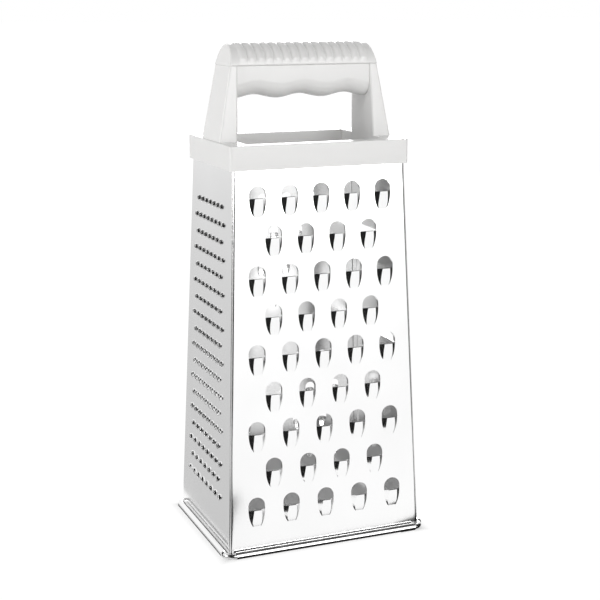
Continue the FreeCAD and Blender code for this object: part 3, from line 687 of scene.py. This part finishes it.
# Place to each side of the middle, the finger's front face, the barb's nose
wide_hooks, narrow_hooks = (22, -28.39, -29.36), (18, -41.94, -42.88)
hook_sides = ((0, wide_hooks), (180, wide_hooks), (90, narrow_hooks), (-90, narrow_hooks))
for turn, (spread, front, nose) in hook_sides:
    for place in (-spread, spread):
        hook = straight_block("hook", hook_half, finger_half, barb_low, plate_under + 0.5)
        bpy.ops.mesh.select_all(action="SELECT")
        shift(x=place, y=front + finger_half)
        for height in (barb_high, barb_high + barb_step):
            cut_across((0, 0, height), (0, 0, 1))
        pick("VERT", lambda co: abs(co.z - barb_high) < near and co.y < front + 0.1)
        shift(y=nose - front)
        only(hook)
        hook.matrix_world = Matrix.Rotation(math.radians(turn), 4, "Z")
        bpy.ops.object.transform_apply(location=True, rotation=True, scale=True)
        combine(handle, "UNION", hook)
settle(handle)
soften(handle)
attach(handle, "root")
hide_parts("handle_frame")

# %% [markdown]
# ## Ribbed cover
# The cover closes the hollow grip from above: a low arch with fifteen ribs that stop short of the seam.
# The arch is drawn as part of a circle and extruded along the grip, ring by ring;
# each ring above the plain band is swelled a little where a rib passes.
# It lies along Z while it is modelled, with Y up.

# %% Arch and ribs
cover_half, cover_rise, rib_rise, rib_count, rib_margin, band = 10.75, 9.7, 0.7, 15, 4.5, 2.4
arch_radius = (cover_half ** 2 + cover_rise ** 2) / 2 / cover_rise
arch_sunk = arch_radius - cover_rise
half_length = leg_at_seam[1]
rib_pitch = (2 * half_length - 2 * rib_margin) / rib_count
rib_profile = ((0, 0), (0.12, 0.45), (0.27, 0.85), (0.5, 1), (0.73, 0.85), (0.88, 0.45))
cover = fresh("grip_cover_moulding", bpy.ops.mesh.primitive_circle_add, vertices=72, radius=arch_radius)
shift(y=-arch_sunk)
bpy.ops.mesh.bisect(plane_co=(0, 0, 0), plane_no=(0, -1, 0), clear_outer=True)
pick("VERT", lambda co: abs(co.y) < touching)
bpy.ops.mesh.edge_face_add()
rings = [(rib_margin - half_length + (rib + along) * rib_pitch, high)
         for rib in range(rib_count) for along, high in rib_profile]
rings = [(-half_length - 1, 0)] + rings + [(half_length - rib_margin, 0), (half_length + 1, 0)]
bpy.ops.mesh.select_all(action="SELECT")
shift(z=rings[0][0])
for (before, low), (place, high) in zip(rings, rings[1:]):
    pick("EDGE", lambda co: abs(co.z - before) < touching)
    pull(z=place - before)
    pick("VERT", lambda co: abs(co.z - place) < touching and co.y > band)
    swell = (arch_radius + high * rib_rise) / (arch_radius + low * rib_rise)
    grow(swell, swell, 1, about=(0, -arch_sunk, 0))
print(rib_count, "ribs,", round(rib_pitch, 2), "mm apart")

# %% [markdown]
# The ends are cut to lean as the legs do, closed and rounded.
# The lower long edges get a small bevel, which draws the seam between cover and grip.

# %% Ends and seam
end_round, seam_bevel = 0.6, 0.45
end_lean = (leg_at_collar[1] - leg_at_seam[1]) / (seam - collar_top)
for hand in (-1, 1):
    cut_across((0, 0, hand * half_length), (0, end_lean, hand), keep_behind=True)
face_outwards()
for hand in (-1, 1):
    pick("EDGE", lambda co: abs(co.z * hand + co.y * end_lean - half_length) < 0.005 and co.y > 1)
    round_off(end_round, 3)
pick_edges(lambda middle, along: abs(middle.y) < touching and abs(abs(middle.x) - cover_half) < near)
round_off(seam_bevel, 1)
only(cover)
settle(cover, Matrix(((0, 0, 1, 0), (1, 0, 0, 0), (0, 1, 0, seam), (0, 0, 0, 1))))
soften(cover, 40)
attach(cover, "root")
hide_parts("grip_cover")

# %% [markdown]
# ## Shader maths
# A small class wraps a socket, so that masks and patterns can be written as sums and products.
# Every other node comes from its one method, with settings first and sockets after.

# %% Shader maths
class Knob:
    """A shader socket that can be added, subtracted and multiplied."""

    def __init__(self, tree, socket=None):
        self.tree, self.socket = tree, socket

    def make(self, kind, settings=None, sockets=None, output=0):
        """Add a node with its settings and the values or links of its sockets; return one of its outputs."""
        node = self.tree.nodes.new(kind)
        for name, value in (settings or {}).items():
            if name == "stops":
                for stop, (place, shade) in zip(node.color_ramp.elements, value):
                    stop.position, stop.color = place, (shade, shade, shade, 1)
            else:
                setattr(node, name, value)
        for name, value in (sockets or {}).items():
            if isinstance(value, Knob):
                self.tree.links.new(value.socket, node.inputs[name])
            else:
                node.inputs[name].default_value = value
        return Knob(self.tree, node.outputs[output] if node.outputs else None)

    def maths(self, operation, first, second):
        return self.make("ShaderNodeMath", {"operation": operation}, {0: first, 1: second})

    def __add__(self, other):
        return self.maths("ADD", self, other)

    def __radd__(self, other):
        return self.maths("ADD", other, self)

    def __sub__(self, other):
        return self.maths("SUBTRACT", self, other)

    def __rsub__(self, other):
        return self.maths("SUBTRACT", other, self)

    def __mul__(self, other):
        return self.maths("MULTIPLY", self, other)

    def __rmul__(self, other):
        return self.maths("MULTIPLY", other, self)


def new_finish(name):
    """An empty material and a knob to start from."""
    material = bpy.data.materials.new(name)
    material.use_nodes = True
    material.node_tree.nodes.clear()
    return material, Knob(material.node_tree)


def cover_with(piece, material):
    """Give a piece one material."""
    piece.data.materials.clear()
    piece.data.materials.append(material)


# %% [markdown]
# ## Steel
# The panels are polished sheet: nearly a mirror, with a faint grain from rolling and slight wipe marks.
# Grain is noise stretched up the panel, which varies the roughness and raises a very faint bump.
# Wipe marks are broader noise, which varies the roughness and the colour.
# The wire is drawn, not polished, so it is darker and its grain is stronger.

# %% Steel
grain_scale, smear_scale, smear_share, tone_drift = (900, 900, 14), 28, 0.06, 0.03


def steel(name, shade, roughness, grain):
    """Bright steel with a grain up the piece."""
    material, start = new_finish(name)
    place = start.make("ShaderNodeTexCoord", output="Object")
    stretched = start.make("ShaderNodeMapping", sockets={"Vector": place, "Scale": grain_scale})
    lines = start.make("ShaderNodeTexNoise", sockets={"Vector": stretched, "Scale": 1, "Detail": 3})
    smears = start.make("ShaderNodeTexNoise", sockets={"Vector": place, "Scale": smear_scale, "Detail": 2})
    rough = roughness + (lines - 0.5) * grain + (smears - 0.5) * smear_share
    stops = ((0.3, shade - tone_drift), (0.7, shade))
    tone = start.make("ShaderNodeValToRGB", {"stops": stops}, {"Fac": smears})
    bump = start.make("ShaderNodeBump", sockets={"Strength": 0.02, "Distance": 0.0002, "Height": lines})
    shader = start.make("ShaderNodeBsdfPrincipled", sockets={
        "Base Color": tone, "Metallic": 1.0, "Roughness": rough, "Normal": bump})
    start.make("ShaderNodeOutputMaterial", sockets={"Surface": shader})
    return material


panel_steel = steel("polished_sheet", shade=0.95, roughness=0.15, grain=0.05)
wire_steel = steel("drawn_wire", shade=0.8, roughness=0.2, grain=0.1)
for panel in (coarse_panel, shred_panel, fine_panel, slice_panel):
    cover_with(panel, panel_steel)
cover_with(rim_wire, wire_steel)
print("steel:", panel_steel.name, wire_steel.name)

# %% [markdown]
# ## Plastic
# The handle is moulded in off-white plastic with a soft gloss.
# A moulding is never quite even, so the colour and the gloss drift a little,
# and a faint ripple breaks the highlights.

# %% Plastic
cream, pale_cream = (0.8, 0.796, 0.787, 1), (0.83, 0.826, 0.817, 1)
gloss, gloss_drift = 0.24, 0.04
handle_plastic, start = new_finish("moulded_plastic")
place = start.make("ShaderNodeTexCoord", output="Object")
drift = start.make("ShaderNodeTexNoise", sockets={"Vector": place, "Scale": 12, "Detail": 1})
ripple = start.make("ShaderNodeTexNoise", sockets={"Vector": place, "Scale": 700, "Detail": 2})
tone = start.make("ShaderNodeMix", {"data_type": "RGBA"}, {0: drift, 6: cream, 7: pale_cream}, output=2)
bump = start.make("ShaderNodeBump", sockets={"Strength": 0.03, "Distance": 0.0002, "Height": ripple})
shader = start.make("ShaderNodeBsdfPrincipled", sockets={
    "Base Color": tone, "Roughness": gloss + drift * gloss_drift, "Normal": bump, "IOR": 1.49})
start.make("ShaderNodeOutputMaterial", sockets={"Surface": shader})
cover_with(handle, handle_plastic)
cover_with(cover, handle_plastic)
print("plastic:", handle_plastic.name)

# %% [markdown]
# ## Background
# The background is plain white for the lens and for what the steel reflects.
# For every other ray the world is a weaker fill, so that the white doesn't light the grater too strongly.

# %% World
fill_strength, white_strength = 0.42, 1.0
world = bpy.data.worlds.new("studio")
bpy.context.scene.world = world
world.use_nodes = True
world.node_tree.nodes.clear()
start = Knob(world.node_tree)


def seen_directly(start):
    """1 for rays from the lens and for mirrored and transmitted ones, else 0."""
    camera_ray = start.make("ShaderNodeLightPath", output="Is Camera Ray")
    glossy_ray = start.make("ShaderNodeLightPath", output="Is Glossy Ray")
    through_ray = start.make("ShaderNodeLightPath", output="Is Transmission Ray")
    return start.maths("MAXIMUM", camera_ray, start.maths("MAXIMUM", glossy_ray, through_ray))


fill = start.make("ShaderNodeBackground", sockets={"Color": (1, 1, 1, 1), "Strength": fill_strength})
white = start.make("ShaderNodeBackground", sockets={"Color": (1, 1, 1, 1), "Strength": white_strength})
mixed = start.make("ShaderNodeMixShader", sockets={0: seen_directly(start), 1: fill, 2: white})
start.make("ShaderNodeOutputWorld", sockets={"Surface": mixed})
print("world: fill", fill_strength, "white", white_strength)

# %% [markdown]
# ## Floor
# The floor is white paper that runs out into the background without an edge.
# Close to the grater it is plain paper and keeps the shadow; further out it glows to white for the lens.
# The reach that the mask reads is 1 at the body's edge, whose half width and depth give the two scales.

# %% Floor
floor_size, paper_shade, glow_strength = 30, 0.9, 1.05
scale_across, scale_along = 20, 26.7
floor = fresh("floor", bpy.ops.mesh.primitive_plane_add, size=floor_size)
only(floor)
floor_white, start = new_finish("floor_white")
paper = start.make("ShaderNodeBsdfDiffuse", sockets={"Color": (paper_shade, paper_shade, paper_shade, 1)})
glow = start.make("ShaderNodeEmission", sockets={"Color": (1, 1, 1, 1), "Strength": glow_strength})
place = start.make("ShaderNodeTexCoord", output="Object")
across = start.make("ShaderNodeSeparateXYZ", sockets={"Vector": place}, output="X")
along = start.make("ShaderNodeSeparateXYZ", sockets={"Vector": place}, output="Y")
reach = start.maths("MAXIMUM", start.maths("ABSOLUTE", across, 0) * scale_across,
                    start.maths("ABSOLUTE", along, 0) * scale_along)
outside = start.make("ShaderNodeMapRange", {"interpolation_type": "SMOOTHSTEP"},
                     {"Value": reach, "From Min": 0.92, "From Max": 1.15, "To Min": 0.0, "To Max": 0.95})
mixed = start.make("ShaderNodeMixShader", sockets={0: seen_directly(start) * outside, 1: paper, 2: glow})
start.make("ShaderNodeOutputMaterial", sockets={"Surface": mixed})
cover_with(floor, floor_white)
print("floor", floor_size, "m")

# %% [markdown]
# ## Lamps
# Three broad lamps stand low, in front, at the left and behind, so that every side is lit softly.
# A small one inside the body, behind the front panel and out of the lens's sight, faces the back panel,
# whose inner face mirrors it, so the openings look pale inside and not black.

# %% Lamps
broad = (0.6, 0.6)
inner_x, inner_y, inner_height, inner_size, inner_power = 0.024, -0.02, 0.0875, (0.036, 0.155), 0.0094


def lamp(name, place, size, power, aim=(0, 0, 0.12)):
    """A flat lamp that faces a place, which is the middle of the grater unless another is given."""
    light = bpy.data.lights.new(name, "AREA")
    light.shape, light.energy = "RECTANGLE", power
    light.size, light.size_y = size
    item = bpy.data.objects.new(name, light)
    bpy.context.scene.collection.objects.link(item)
    item.location = place
    item.rotation_euler = (Vector(aim) - Vector(place)).to_track_quat("-Z", "Y").to_euler()
    print(name, power, "W")
    return item


lamp("front_lamp", (0.3, -1.2, 0.38), broad, 5.6)
lamp("side_lamp", (-1.2, -0.1, 0.38), broad, 6.2)
lamp("rear_lamp", (0.6, 1.2, 0.38), broad, 6)
inner_lamp = lamp("inner_lamp", (inner_x, inner_y, inner_height), inner_size, inner_power,
                  aim=(inner_x, 0.5, inner_height))
inner_lamp.visible_camera = False

# %% [markdown]
# ## Cards
# Polished steel only shows what stands round it, so glowing cards are set up that the lens doesn't see and
# that show only in reflections:
# painted reflections. Dark ones to the left and right paint dark reflections on the teeth's flanks, narrow
# ones on the floor paint the shade in the rim's creases as dark lines, one overhead paints dark reflections
# on the ground lips and the burrs, and a grey one on the floor behind, paler further away, paints the
# reflected shadow of the floor near the grater, which keeps the fine side a little darker than the front.

# %% Card helpers
def card(name, corners, shade, slope=0):
    """A glowing card with four corners, seen only in reflections, where it paints a reflection; its shade can
    grow with Y.
    """
    start_half = 10
    piece = fresh(name, bpy.ops.mesh.primitive_plane_add, size=2 * start_half)
    for (x, y), corner in zip(((-1, -1), (1, -1), (1, 1), (-1, 1)), corners):
        old = Vector((x, y, 0)) * start_half
        pick("VERT", lambda co: abs(co.x - old.x) + abs(co.y - old.y) < 1)
        shift(*(Vector(corner) - old))
    only(piece)
    material, start = new_finish(name)
    glow = {"Color": (shade, shade, shade, 1), "Strength": 1.0}
    if slope:
        place = start.make("ShaderNodeTexCoord", output="Object")
        along = start.make("ShaderNodeSeparateXYZ", sockets={"Vector": place}, output="Y")
        glow["Color"] = shade + along * slope
    shader = start.make("ShaderNodeEmission", sockets=glow)
    start.make("ShaderNodeOutputMaterial", sockets={"Surface": shader})
    cover_with(piece, material)
    piece.visible_camera = piece.visible_diffuse = piece.visible_shadow = piece.visible_transmission = False
    print(name, "shade", shade)
    return piece


def upright(start, end, height=0.3):
    """The corners of a card that stands on the floor between two places."""
    return (*start, 0), (*end, 0), (*end, height), (*start, height)


def lying(*places, lifted=0.0005):
    """The corners of a card that lies just above the floor."""
    return [(*place, lifted) for place in places]


# %% Cards
# Near black paints dark reflections, the strip grey paints the shade in the rim's creases, the top shade
# paints dark reflections from overhead.
dark, crease_shade_grey, top_shade, overhead = 0.012, 0.15, 0.06, 0.65
# The rear grey, growing paler away from the grater, paints the reflected shadow of the floor near it.
floor_shadow_grey, floor_shadow_slope = 0.61, 0.11
# Painted dark reflections: cards to the left and right that darken the teeth's flanks in the steel.
card("left_card", upright((-0.22, -0.26), (-0.22, -0.06), 0.6), dark)
card("left_front_card", upright((-0.22, -0.26), (-0.09, -0.42), 0.6), dark)
card("left_floor_card", lying((-0.056, -0.043), (-0.012, -0.13), (-0.22, -0.26), (-0.22, -0.08)), dark)
card("right_card", upright((0.24, -0.2), (0.24, 0.03)), dark)
card("right_floor_card", lying((0.03, -0.0445), (0.24, -0.115), (0.24, 0.03), (0.062, -0.03)), dark)
# Painted shade: strips under the roll, whose reflections draw the dark crease lines along the rim.
card("front_crease_shade_strip", lying((-0.06, -0.0405), (-0.06, -0.0475), (0.09, -0.0485), (0.09, -0.0405)), dark)
card("left_crease_shade_strip", lying((-0.056, -0.045), (-0.053, -0.045), (-0.053, 0.045), (-0.056, 0.045)), crease_shade_grey)
card("top_card", lying((-0.6, -0.5), (0.5, -0.5), (0.5, 0.2), (-0.6, 0.2), lifted=overhead), top_shade)
# Painted reflected shadow of the floor behind the grater, paler further away.
card("floor_shadow_card", lying((-0.057, -0.02), (-0.057, 3), (-3, 3), (-3, -0.06)), floor_shadow_grey, floor_shadow_slope)

# %% [markdown]
# ## View settings
# Standard shows colours as they are written.

# %% View settings
bpy.context.scene.view_settings.view_transform = "Standard"
